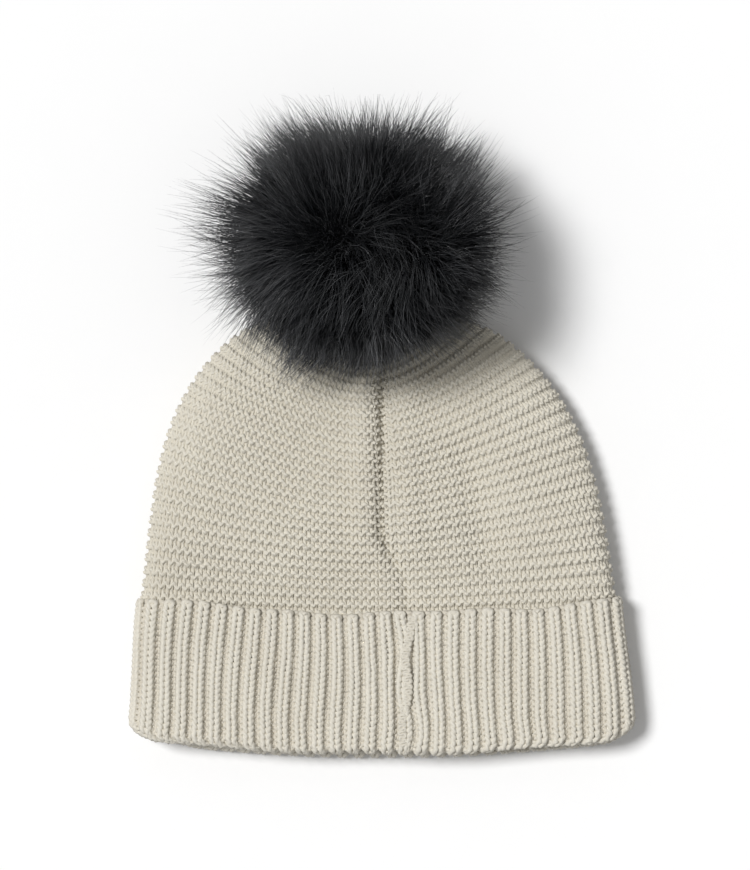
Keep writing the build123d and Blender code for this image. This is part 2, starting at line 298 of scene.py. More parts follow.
class Bench:
    """Adds and wires nodes in one node tree."""

    def __init__(self, tree: bpy.types.NodeTree) -> None:
        """Keep the tree that the nodes go into."""
        self.tree = tree

    @classmethod
    def cleared(cls, owner: bpy.types.Material | bpy.types.World) -> Bench:
        """Bench on the emptied node tree of a material or a world."""
        owner.use_nodes = True
        owner.node_tree.nodes.clear()
        return cls(owner.node_tree)

    def add(self, kind: str, inputs: dict | None = None, **settings: object) -> bpy.types.Node:
        """Add a node.

        Args:
            kind: The node's type name.
            inputs: Socket name or number to a value, or to an output to link from.
            **settings: Properties set on the node before its sockets are read.

        Returns:
            The new node.
        """
        node = self.tree.nodes.new(kind)
        for key, value in settings.items():
            setattr(node, key, value)
        for key, value in (inputs or {}).items():
            self.feed(node.inputs[key], value)
        return node

    def get(
        self, kind: str, inputs: dict | None = None, out: int | str = 0, **settings: object
    ) -> Val:
        """Add a node, and give one of its outputs."""
        return Val(self, self.add(kind, inputs, **settings).outputs[out])

    def feed(self, socket: bpy.types.NodeSocket, value: object) -> None:
        """Link a socket, or set its value."""
        if isinstance(value, Val):
            self.tree.links.new(value.socket, socket)
        else:
            socket.default_value = value

    def calc(self, operation: str, *values: object) -> Val:
        """One Math or Vector Math node, fed in order; a vector comes before its factor."""
        if not any(isinstance(v, tuple) or isinstance(v, Val) and v.is_vector() for v in values):
            node = self.add("ShaderNodeMath", operation=operation)
            sockets = list(node.inputs)
        elif operation == "MULTIPLY":
            node = self.add("ShaderNodeVectorMath", operation="SCALE")
            sockets = [node.inputs["Vector"], node.inputs["Scale"]]
        else:
            node = self.add("ShaderNodeVectorMath", operation=operation)
            sockets = [s for s in node.inputs if s.type == "VECTOR"]
        for socket, value in zip(sockets, values):
            self.feed(socket, value)
        return Val(self, node.outputs[0])

    def join(self, x: object, y: object, z: object) -> Val:
        """Vector of three numbers."""
        return self.get("ShaderNodeCombineXYZ", {"X": x, "Y": y, "Z": z})

    def split(self, vector: Val) -> list[Val]:
        """The three numbers of a vector."""
        return [Val(self, s) for s in self.add("ShaderNodeSeparateXYZ", {0: vector}).outputs]

    def noise(self, place: Val, scale: float, detail: float, out: int | str = 0) -> Val:
        """Noise read at a place."""
        inputs = {"Vector": place, "Scale": scale, "Detail": detail}
        return self.get("ShaderNodeTexNoise", inputs, out)

    def shown(self, name: str, out: str = "Fac") -> Val:
        """A mesh attribute, in a material."""
        return self.get("ShaderNodeAttribute", out=out, attribute_name=name)

    def store(self, geometry: Val, name: str, value: Val) -> Val:
        """Store a value on points under a name."""
        return self.get(
            "GeometryNodeStoreNamedAttribute",
            {"Geometry": geometry, "Name": name, "Value": value},
            data_type="FLOAT_VECTOR" if value.is_vector() else "FLOAT",
            domain="POINT",
        )

    def stored(self, name: str, kind: str = "FLOAT_VECTOR") -> Val:
        """Read a stored value back from its name."""
        return self.get("GeometryNodeInputNamedAttribute", {"Name": name}, data_type=kind)


class Kit:
    """A Geometry Nodes tree with named inputs, made once and shared."""

    def __init__(self, name: str, inputs: dict[str, tuple[str, ...]]) -> None:
        """Open the tree.

        Args:
            name: Name of the tree.
            inputs: Kind of socket to the names of the inputs of that kind.
        """
        self.tree = bpy.data.node_groups.new(name, "GeometryNodeTree")
        face = self.tree.interface
        face.new_socket("Geometry", in_out="INPUT", socket_type="NodeSocketGeometry")
        self.sockets = {
            key: face.new_socket(key, in_out="INPUT", socket_type=f"NodeSocket{kind}")
            for kind, keys in inputs.items()
            for key in keys
        }
        face.new_socket("Geometry", in_out="OUTPUT", socket_type="NodeSocketGeometry")
        self.bench = Bench(self.tree)
        given = self.bench.add("NodeGroupInput").outputs
        self.inputs = {socket.name: Val(self.bench, socket) for socket in given}

    def close(self, tube: Val, material: Val) -> None:
        """End the tree in smooth shading, Realize Instances and Set Material."""
        b = self.bench
        real = b.get(
            "GeometryNodeRealizeInstances", {0: b.get("GeometryNodeSetShadeSmooth", {0: tube})}
        )
        dressed = b.get("GeometryNodeSetMaterial", {"Geometry": real, "Material": material})
        b.add("NodeGroupOutput", {0: dressed})

    def make(self, name: str, base: bpy.types.Object, values: dict) -> bpy.types.Object:
        """Run the tree on a base, which is then removed, and keep the result as a plain mesh.

        Args:
            name: Name of the new piece.
            base: Object whose mesh the tree reads.
            values: Input name to value.

        Returns:
            The new piece, linked to the scene.
        """
        modifier = base.modifiers.new("make", "NODES")
        modifier.node_group = self.tree
        for key, value in values.items():
            modifier[self.sockets[key].identifier] = value
        depsgraph = bpy.context.evaluated_depsgraph_get()
        depsgraph.update()
        mesh = bpy.data.meshes.new_from_object(base.evaluated_get(depsgraph), depsgraph=depsgraph)
        base.modifiers.remove(modifier)
        bpy.data.objects.remove(base)
        mesh.name = name
        return link(name, mesh)


# ---- Finishes -----------------------------------------------------------------------------


class Surface(Enum):
    """Kinds of finish that a piece can have."""

    YARN = "yarn"
    CLOTH = "cloth"
    PILE = "pile"
    HARD = "hard"


@dataclass(frozen=True)
class Finish:
    """One finish, from which a node material is made.

    Args:
        name: Name of the material.
        kind: Which recipe it follows.
        colour: Colour of most of it.
        shade: Darker colour of its flecks and marks, and of the painted shade in its hollows.
        roughness: How matt it is.
        grain: Size of its fine detail, in metres.
        relief: How strongly the fine detail shades.
        metallic: 1 for bare metal.
    """

    name: str
    kind: Surface
    colour: tuple[float, float, float]
    shade: tuple[float, float, float]
    roughness: float
    grain: float = 0.0012
    relief: float = 0.4
    metallic: float = 0.0

    def material(self) -> bpy.types.Material:
        """Node material for this finish, made once."""
        made = bpy.data.materials.get(self.name)
        if made is not None:
            return made
        made = bpy.data.materials.new(self.name)
        bench = Bench.cleared(made)
        place = bench.get("ShaderNodeTexCoord", out="Object")
        broad = bench.noise(place, 28.0, 2.0)
        fine = bench.noise(place, 0.6 / self.grain, 3.0)
        recipes = {
            Surface.YARN: self._yarn,
            Surface.CLOTH: self._cloth,
            Surface.PILE: self._pile,
            Surface.HARD: self._hard,
        }
        share, height, depth = recipes[self.kind](bench, place, broad, fine)
        mix = bench.add("ShaderNodeMix", {0: share}, data_type="RGBA", clamp_factor=True)
        ends = [s for s in mix.inputs if s.type == "RGBA"]
        ends[0].default_value = (*self.shade, 1.0)
        ends[1].default_value = (*self.colour, 1.0)
        bump = bench.get(
            "ShaderNodeBump", {"Strength": self.relief, "Distance": depth, "Height": height}
        )
        gloss = {
            Surface.PILE: {"Specular IOR Level": 0.62},
            Surface.HARD: {},
        }.get(self.kind, {"Specular IOR Level": 0.2, "Sheen Weight": 0.12, "Sheen Roughness": 0.5})
        shader = bench.get(
            "ShaderNodeBsdfPrincipled",
            {
                "Base Color": Val(bench, next(s for s in mix.outputs if s.type == "RGBA")),
                "Roughness": self.roughness,
                "Metallic": self.metallic,
                "Normal": bump,
                **gloss,
            },
        )
        bench.add("ShaderNodeOutputMaterial", {"Surface": shader})
        return made

    def _yarn(self, bench: Bench, _: Val, broad: Val, fine: Val) -> tuple[Val, Val, float]:
        """Plies that twist round the yarn, with loose fibres; painted shade between plies and in
        hollows.
        """
        ply_pitch = 0.0034
        x, y, _z = bench.split(bench.shown("around", "Vector"))
        turn = bench.calc("ARCTAN2", y, x).mad(2.0, bench.shown("along") * (TURN / ply_pitch))
        ply = bench.calc("SINE", fine.mad(1.6, turn)).mad(0.5, 0.5)
        # Random tone, with painted shade in the grooves between the plies.
        tone_and_ply_shade = fine.mad(0.5, ply.mad(0.3, broad * 0.55))
        # Painted shade: the stored hollow value darkens the yarn where it lies low.
        share = bench.shown("hollow").mad(-0.75, tone_and_ply_shade + 0.35)
        return share, fine.mad(0.7, ply), 0.0006

    def _cloth(self, bench: Bench, place: Val, broad: Val, fine: Val) -> tuple[Val, Val, float]:
        """Close weave or felted ground."""
        inputs = {"Vector": place, "Scale": 0.25 / self.grain, "Distortion": 1.5, "Detail": 1.0}
        height = bench.get("ShaderNodeTexWave", inputs, 1).mad(0.6, fine)
        return broad.mad(0.6, height * 0.4), height, 0.0003

    def _pile(self, bench: Bench, _: Val, broad: Val, fine: Val) -> tuple[Val, Val, float]:
        """Hair whose tone changes from lock to lock and towards its tips."""
        tone = bench.shown("lock") * bench.shown("along").mad(0.8, 0.2)
        return broad.mad(0.35, tone * 0.75), fine, 0.0001

    def _hard(self, _: Bench, _place: Val, broad: Val, fine: Val) -> tuple[Val, Val, float]:
        """Plated metal or moulded plastic with faint handling marks."""
        return fine.mad(0.5, broad * 0.6), fine, 0.00005


CROWN_YARN = Finish(
    "cream_crown_yarn", Surface.YARN, (0.735, 0.70, 0.61), (0.59, 0.545, 0.455), 0.88
)
RIB_YARN = Finish("cream_rib_yarn", Surface.YARN, (0.735, 0.70, 0.615), (0.57, 0.52, 0.43), 0.88)
SEAM_YARN = Finish(
    "cream_seam_yarn", Surface.YARN, (0.72, 0.685, 0.60), (0.59, 0.545, 0.455), 0.88
)
# Darker cream under the loops: painted shade between the stitches.
KNIT_SHADE_GROUND = Finish(
    "shaded_cream_knit_ground", Surface.CLOTH, (0.64, 0.595, 0.50), (0.52, 0.475, 0.39), 0.95
)
LABEL_SATIN = Finish(
    "blank_satin_label", Surface.CLOTH, (0.76, 0.75, 0.70), (0.62, 0.60, 0.55), 0.45, 0.0004, 0.3
)
LABEL_THREAD = Finish(
    "pale_sewing_thread", Surface.CLOTH, (0.70, 0.67, 0.60), (0.48, 0.45, 0.39), 0.6, 0.0003, 0.5
)
PILE_GUARD = Finish(
    "black_guard_pile", Surface.PILE, (0.030, 0.032, 0.036), (0.0025, 0.0026, 0.003), 0.30
)
# Grey stray hairs: a painted highlight standing in for glints on the black pile.
PILE_HIGHLIGHT_STRAY = Finish(
    "painted_highlight_stray_pile", Surface.PILE, (0.20, 0.205, 0.215), (0.003, 0.003, 0.004), 0.26
)
PILE_GROUND = Finish(
    "black_pile_ground", Surface.CLOTH, (0.010, 0.010, 0.012), (0.003, 0.003, 0.004), 0.9
)
PILE_THREAD = Finish(
    "waxed_black_thread", Surface.CLOTH, (0.03, 0.03, 0.034), (0.008, 0.008, 0.01), 0.5, 0.0003
)
POLYESTER = Finish(
    "white_polyester_fibre", Surface.CLOTH, (0.80, 0.80, 0.80), (0.6, 0.6, 0.6), 0.9, 0.002
)
SNAP_METAL = Finish(
    "satin_snap_nickel", Surface.HARD, (0.56, 0.55, 0.53), (0.40, 0.39, 0.37), 0.3, 0.0008, 0.2,
    1.0,
)
DISC_PLASTIC = Finish(
    "matt_disc_plastic", Surface.HARD, (0.05, 0.05, 0.055), (0.03, 0.03, 0.033), 0.55, 0.0008, 0.3
)


def dress(
    piece: bpy.types.Object, finish: Finish, node: str, body: str | None
) -> bpy.types.Object:
    """Give a piece its material and its body, and hide the CAD node that it is shown for.

    Args:
        piece: The piece.
        finish: What it is made of.
        node: CAD node that it is shown for.
        body: Body that it rides on, or None to leave it unattached.

    Returns:
        The same piece.
    """
    piece.data.materials.clear()
    piece.data.materials.append(finish.material())
    if body is not None:
        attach(piece, body)
    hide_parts(node)
    return piece


# ---- Yarn laid as loops over a surface -----------------------------------------------------


def loop_tree() -> Kit:
    """Tree that knits rows of yarn loops over a base sheet laid out in stitches and rows.

    Returns:
        The tree. U of the base runs over its stitches and V over its rows, both from 0 to 1.
    """
    kit = Kit(
        "knit_loops",
        {
            "Int": ("Rows", "Stitches", "Points per stitch", "Yarn sides"),
            "Float": (
                "Margin", "First wale", "Yarn radius", "Lean", "Height", "Garter lift",
                "Rib lift", "Rib relief", "Hollow", "Unevenness", "Seed",
            ),
            "Material": ("Yarn",),
        },
    )
    b, given = kit.bench, kit.inputs
    per_row = given["Stitches"] * given["Points per stitch"] + 1.0
    points = b.get("GeometryNodePoints", {"Count": per_row * given["Rows"]})
    index = b.get("GeometryNodeInputIndex")
    row = b.calc("FLOOR", (index + 0.25) / per_row)
    lines = b.get(
        "GeometryNodePointsToCurves", {"Points": points, "Curve Group ID": row, "Weight": index}
    )
    wale = (index - row * per_row) / given["Points per stitch"]
    turn = wale * TURN
    swing, twice = b.calc("COSINE", turn), b.calc("COSINE", turn * 2.0)
    across = wale + b.calc("SINE", turn * 2.0) * given["Lean"]
    up = (row + 0.5) - swing * (given["Height"] * 0.5)
    # A hand's unevenness, read over the sheet so that neighbours share it.
    hand = b.noise(b.join(across + given["First wale"], up * 0.8, given["Seed"]), 0.45, 2.0, "Color")
    stray = b.split((hand - (0.5, 0.5, 0.5)) * given["Unevenness"])
    across, up = across + stray[0], up + stray[1]
    wide = given["Stitches"] + given["Margin"] * 2.0
    edge = 0.0005
    target = b.join(*(
        b.calc("MINIMUM", b.calc("MAXIMUM", share, edge), 1.0 - edge)
        for share in ((across + given["Margin"]) / wide, up / given["Rows"])
    ), 0.0)
    lay, out = b.stored("lay"), b.stored("out")
    place = b.get("GeometryNodeInputPosition")

    def read(value: Val) -> Val:
        """Value of the sheet at the yarn's place on it."""
        node = b.add("GeometryNodeSampleUVSurface", data_type="FLOAT_VECTOR")
        b.feed(node.inputs["Mesh"], given["Geometry"])
        b.feed(next(s for s in node.inputs if s.name == "Value" and s.enabled), value)
        b.feed(node.inputs["UV Map" if "UV Map" in node.inputs else "Source UV Map"], lay)
        b.feed(node.inputs["Sample UV"], target)
        return Val(b, node.outputs[0])

    # Garter turns every second row inside out; rib does so with every second wale.
    parity = 1.0 - b.calc("MODULO", row, 2.0) * 2.0
    side = b.calc("SINE", (across + given["First wale"]) * math.pi)
    crisp = b.calc("COSINE", turn * 3.0).mad(0.28, swing)
    garter = crisp * parity * given["Garter lift"]
    rib = twice * side * given["Rib lift"]
    lift = side * given["Rib relief"] - (garter + rib) + stray[2] * 0.0022
    resting = read(place) + read(out) * lift
    laid = b.get("GeometryNodeSetPosition", {"Geometry": lines, "Position": resting})
    laid = b.store(laid, "along", b.get("GeometryNodeSplineParameter", out="Length"))
    # Where the yarn lies low, its colour is darkened as painted shade.
    laid = b.store(laid, "hollow", 0.5 - lift * given["Hollow"])
    ring = b.get(
        "GeometryNodeCurvePrimitiveCircle",
        {"Resolution": given["Yarn sides"], "Radius": given["Yarn radius"]},
    )
    ring = b.store(ring, "around", b.calc("NORMALIZE", place))
    tube = {"Curve": laid, "Profile Curve": ring, "Fill Caps": True}
    kit.close(b.get("GeometryNodeCurveToMesh", tube), given["Yarn"])
    return kit


@dataclass
class Yarn:
    """How one part of the hat is knitted.

    Args:
        radius: Radius of the yarn.
        sides: Sides of its section.
        points: Points for each stitch.
        lean: How far the legs of a loop lean past its foot, in stitches.
        height: Height of a loop, in rows.
        garter: Lift of each loop's head over its foot in garter stitch.
        rib: Lift of each loop's legs over its head and foot in rib.
        relief: How far knit wales stand out over purl wales.
        uneven: A hand's unevenness, in stitches.
    """

    radius: float
    sides: int = 5
    points: int = 8
    lean: float = 0.16
    height: float = 1.7
    garter: float = 0.0
    rib: float = 0.0
    relief: float = 0.0
    uneven: float = 0.22

    def knit(
        self,
        kit: Kit,
        name: str,
        sheet: bpy.types.Object,
        stitches: int,
        rows: int,
        finish: Finish,
        margin: float = 0.5,
        first_wale: int = 0,
        seed: float = 1.0,
    ) -> bpy.types.Object:
        """Knit one piece over a base sheet, which is then removed.

        Args:
            kit: The loop tree.
            name: Name of the piece.
            sheet: The base sheet.
            stitches: Stitches across, without the margins.
            rows: Rows of loops on the whole sheet.
            finish: The yarn's finish.
            margin: Stitches of sheet past each end of the rows.
            first_wale: Number of the first wale, whose evenness gives knit or purl.
            seed: Where its unevenness is read.

        Returns:
            The knitted piece.
        """
        # Scale for the painted shade, so that it runs from none on the highest yarn to full on the
        # lowest.
        tallest = max(self.relief + self.rib, 2.6 * self.garter, 0.5)
        return kit.make(
            name,
            sheet,
            {
                "Rows": rows,
                "Stitches": stitches,
                "Points per stitch": self.points,
                "Yarn sides": self.sides,
                "Margin": float(margin),
                "First wale": float(first_wale),
                "Yarn radius": self.radius * MM,
                "Lean": self.lean,
                "Height": self.height,
                "Garter lift": self.garter * MM,
                "Rib lift": self.rib * MM,
                "Rib relief": self.relief * MM,
                "Hollow": 0.5 / (tallest * MM),
                "Unevenness": self.uneven,
                "Seed": seed,
                "Yarn": finish.material(),
            },
        )

    def sectors(
        self,
        kit: Kit,
        grid: np.ndarray,
        names: tuple[str, ...],
        rows: int,
        steps: int,
        finish: Finish,
        seed: float,
    ) -> list[bpy.types.Object]:
        """Knit a closed grid in pieces of equal width.

        Args:
            kit: The loop tree.
            grid: Points as [row][wale step][xyz].
            names: One name for each piece, from the left edge over the top.
            rows: Rows of loops.
            steps: Points of the grid for each wale.
            finish: The yarn's finish.
            seed: Where the unevenness is read.

        Returns:
            The pieces.
        """
        around = grid.shape[1]
        wales = around // steps // len(names)
        pieces = []
        for number, name in enumerate(names):
            first = (number * wales - MARGIN_WALES) * steps
            last = ((number + 1) * wales + MARGIN_WALES) * steps
            sheet = sheet_mesh(grid[:, np.arange(first, last + 1) % around])
            pieces.append(self.knit(
                kit, name, sheet, wales, rows, finish, MARGIN_WALES, number * wales, seed
            ))
        return pieces


def strip_sheet(line: np.ndarray, width: float) -> bpy.types.Object:
    """Narrow base sheet of a given width along a line of points, facing up."""
    way = np.gradient(line, axis=0)
    way /= np.linalg.norm(way, axis=1, keepdims=True)
    share = np.linspace(-0.5, 0.5, 5)[:, None, None]
    return sheet_mesh(line[None] + share * width * np.cross(UP, way)[None])


def hoop_sheet(
    centre: np.ndarray, axis: np.ndarray, radius: float, width: float, count: int
) -> bpy.types.Object:
    """Narrow base sheet that runs nearly once round an axis, facing out from it.

    Args:
        centre: Its middle.
        axis: Way that the axis points.
        radius: Its radius.
        width: Its width along the axis.
        count: Points round it.

    Returns:
        The sheet.
    """
    turn = np.linspace(0.0, TURN * 0.985, count)
    hoop = np.cos(turn)[:, None] * RIGHT + np.sin(turn)[:, None] * np.cross(axis, RIGHT)
    shares = np.linspace(-0.5, 0.5, 5)
    return sheet_mesh(
        np.stack([centre + radius * hoop + axis * (share * width) for share in shares])
    )


# ---- Crown ---------------------------------------------------------------------------------


def even_steps(points: np.ndarray, count: int, closed: bool = False) -> np.ndarray:
    """Points spaced evenly along a run of points.

    Args:
        points: The run, as [point][xyz].
        count: How many points to give.
        closed: True if the last of them is left out, where the next run starts.

    Returns:
        The evenly spaced points.
    """
    steps = np.linalg.norm(np.diff(points, axis=0), axis=1)
    reach = np.concatenate([[0.0], np.cumsum(steps)])
    stops = np.linspace(0.0, reach[-1], count + closed)[:count]
    return np.stack([np.interp(stops, reach, points[:, i]) for i in range(3)], axis=1)


@dataclass(frozen=True)
class Section:
    """Section of a tube that lies flat.

    Args:
        middle_x: X of its middle.
        half_width: Half its width.
        y: Y of the section.
        middle_z: Height of its two side folds.
        top: Height of the upper layer over the folds.
        bottom: Depth of the lower layer under them.
        fullness: How square the folds are.
    """

    middle_x: float
    half_width: float
    y: float
    middle_z: float
    top: float
    bottom: float
    fullness: float

    def points(self, count: int) -> np.ndarray:
        """Evenly spaced points, count on each layer, from the left over the top and back."""
        share = -np.cos(np.linspace(0.0, math.pi, 321))
        crest = np.sqrt(np.maximum(1.0 - np.abs(share) ** self.fullness, 0.0))
        level = np.full_like(share, self.y)
        layers = [
            [self.middle_x + self.half_width * share, level, self.middle_z + self.top * crest],
            [self.middle_x - self.half_width * share, level, self.middle_z - self.bottom * crest],
        ]
        return np.concatenate([even_steps(np.stack(run, axis=1), count, True) for run in layers])


@dataclass
class Crown:
    """Garter-stitch crown that lies flat and draws up to the stem of the pom."""

    yarn: Yarn = field(default_factory=lambda: Yarn(radius=1.0, garter=1.1, height=1.82, lean=0.07))
    wales_a_side: int = 60
    rows: int = 68
    foot_rise: float = 61.0
    top_rise: float = 219.0
    layer: float = 1.8
    ring_radius: float = 7.6
    ring_reach: float = 4.4
    steps_a_wale: int = 3
    crease_depth: float = 4.4
    hollow_depth: float = 3.2
    bend_start: float = -34.0
    bend_end: float = -3.0

    def __post_init__(self) -> None:
        """Read the crown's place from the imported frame."""
        low, self.high = box_mm("crown_body")
        self.hem_y = low[1] - self.foot_rise
        self.apex = np.array(joint("pom_nod")["pos_m"]) / MM
        self.stem = np.array(joint("pom_unsnap")["axis"])
        self.tilt = np.cross(self.stem, RIGHT)
        self.middle_z = self.apex[2]

    def half_width(self, rise: float) -> float:
        """Half the crown's width at a rise."""
        share = min(max((rise - 90.0) / 129.0, 0.0), 0.9999)
        foot = self.high[0] - self.layer + 0.6 - 0.13 * max(rise - 76.0, 0.0)
        return foot * (1.0 - share**3.4) ** 0.54

    def ring(self, rise: float, count: int) -> np.ndarray:
        """Section of the crown at a rise: it puffs up in its middle and thins to its nose."""
        base = self.high[2] - self.middle_z - self.layer
        puff = 4.6 * float(plateau(rise, (66.0, 128.0), (150.0, 206.0)))
        settle = 3.0 * float(plateau(rise, (74.0, 108.0), (160.0, 200.0)))
        nose = float(smooth(rise, 196.0, 219.0))
        return Section(
            -1.2 - 6.5 * (max(rise - 76.0, 0.0) / 143.0) ** 1.6,
            self.half_width(rise),
            self.hem_y + rise,
            self.middle_z,
            (base + puff) * (1.0 - nose) + nose,
            (base + settle) * (1.0 - nose) + nose,
            20.0 - 15.0 * float(smooth(rise, 70.0, 125.0)) - 2.0 * nose,
        ).points(count)

    def shaped(self, grid: np.ndarray) -> np.ndarray:
        """Crease the back seam into the upper layer, and let the cloth puff and sink."""
        x, z = grid[..., 0], grid[..., 2]
        rise = grid[..., 1] - self.hem_y
        upper = smooth(z - self.middle_z, 0.0, 5.0)
        live = plateau(rise, (62.0, 72.0), (186.0, 204.0)) * upper
        seam = 0.5 + 11.0 * (1.0 - smooth(rise, 78.0, 108.0))
        crease = -self.crease_depth * hump(x, seam, 2.8)
        crease += 2.0 * hump(x, seam - 9.0, 6.0) + 1.3 * hump(x, seam + 12.0, 8.0)
        crease *= 0.3 + 0.7 * smooth(rise, 86.0, 104.0)
        line = ((x - 48.0) * 70.0 + (rise - 110.0) * 14.0) / math.hypot(70.0, 14.0)
        hollow = hump(line, 0.0, 10.0) * plateau(rise, (80.0, 100.0), (130.0, 164.0))
        sunk = -1.5 * hump(x, -48.0, 24.0) * hump(rise, 138.0, 30.0)
        ripple = 0.9 * np.sin(x / 13.0 + 1.3) * np.sin(rise / 17.0 + x / 41.0)
        ripple *= smooth(rise, 84.0, 110.0)
        grid[..., 2] += live * (crease - self.hollow_depth * hollow + sunk + ripple)
        lower = smooth(self.middle_z - z, 0.0, 4.0) * smooth(rise, 90.0, 120.0)
        grid[..., 2] += lower * 0.5 * np.sin(x / 15.0) * np.sin(rise / 19.0)
        return grid

    def grid(self) -> np.ndarray:
        """Points of the whole crown as [row][wale step][xyz], from its foot to the stem."""
        count = self.wales_a_side * self.steps_a_wale
        shoulder = 190.0
        rises = np.concatenate([
            np.linspace(self.foot_rise, shoulder, 90),
            np.linspace(shoulder, self.top_rise - 0.1, 60)[1:],
        ])
        rings = np.array([self.ring(float(rise), count) for rise in rises])
        angle = math.pi - TURN * np.arange(2 * count) / (2 * count)
        spread = np.cos(angle)[:, None] * RIGHT - np.sin(angle)[:, None] * self.tilt
        mouth = self.apex + self.stem * self.ring_reach + self.ring_radius * spread
        # The upper layer ends sooner, where it turns up along the stem.
        last_rise = (self.top_rise - 0.2) - 11.0 * np.maximum(np.sin(angle), 0.0) ** 1.5
        share = np.linspace(0.0, 1.0, 260)
        pull = smooth(share, 0.87, 1.0)[:, None]
        wales = []
        for step in range(2 * count):
            rise = self.foot_rise + (last_rise[step] - self.foot_rise) * share
            path = np.stack([np.interp(rise, rises, rings[:, step, i]) for i in range(3)], axis=1)
            path = path * (1.0 - pull) + mouth[step] * pull
            wales.append(even_steps(path, self.rows * 3 + 1))
        return self.shaped(np.stack(wales, axis=1))

    def build(self, kit: Kit) -> list[bpy.types.Object]:
        """Knit the crown in four pieces over a closed ground.

        Each piece runs from the hat to the apex that the pom stands on.

        Args:
            kit: The loop tree.

        Returns:
            The pieces.
        """
        grid = self.grid()
        rows = np.linspace(0, len(grid) - 1, 69).astype(int)
        ground = self.ground(grid, rows)
        names = ("crown_back_left", "crown_back_right", "crown_front_right", "crown_front_left")
        knitted = self.yarn.sectors(
            kit, grid, names, self.rows, self.steps_a_wale, CROWN_YARN, seed=3.0
        )
        # The ground's darker cream is painted shade between the loops.
        pieces = [dress(ground, KNIT_SHADE_GROUND, "crown_body", None)]
        for piece in knitted:
            pieces.append(dress(piece, CROWN_YARN, "crown_body", None))
        for piece in pieces:
            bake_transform(piece)
        return pieces

    def ground(self, grid: np.ndarray, rows: np.ndarray) -> bpy.types.Object:
        """Thin closed ground just under the knitting, on some of the grid's rows."""
        ways = outward(grid)
        thin = np.ix_(rows, np.arange(0, grid.shape[1], self.steps_a_wale))
        skin = np.concatenate([(grid - 0.9 * ways)[thin], (grid - 1.7 * ways)[thin][::-1]])
        index = np.arange(skin.shape[0] * skin.shape[1]).reshape(skin.shape[:2])
        faces = quads(np.pad(index, ((0, 1), (0, 1)), mode="wrap"))
        return new_piece("crown_ground", skin, faces.tolist())


# ---- Rib band and turned-up cuff -----------------------------------------------------------


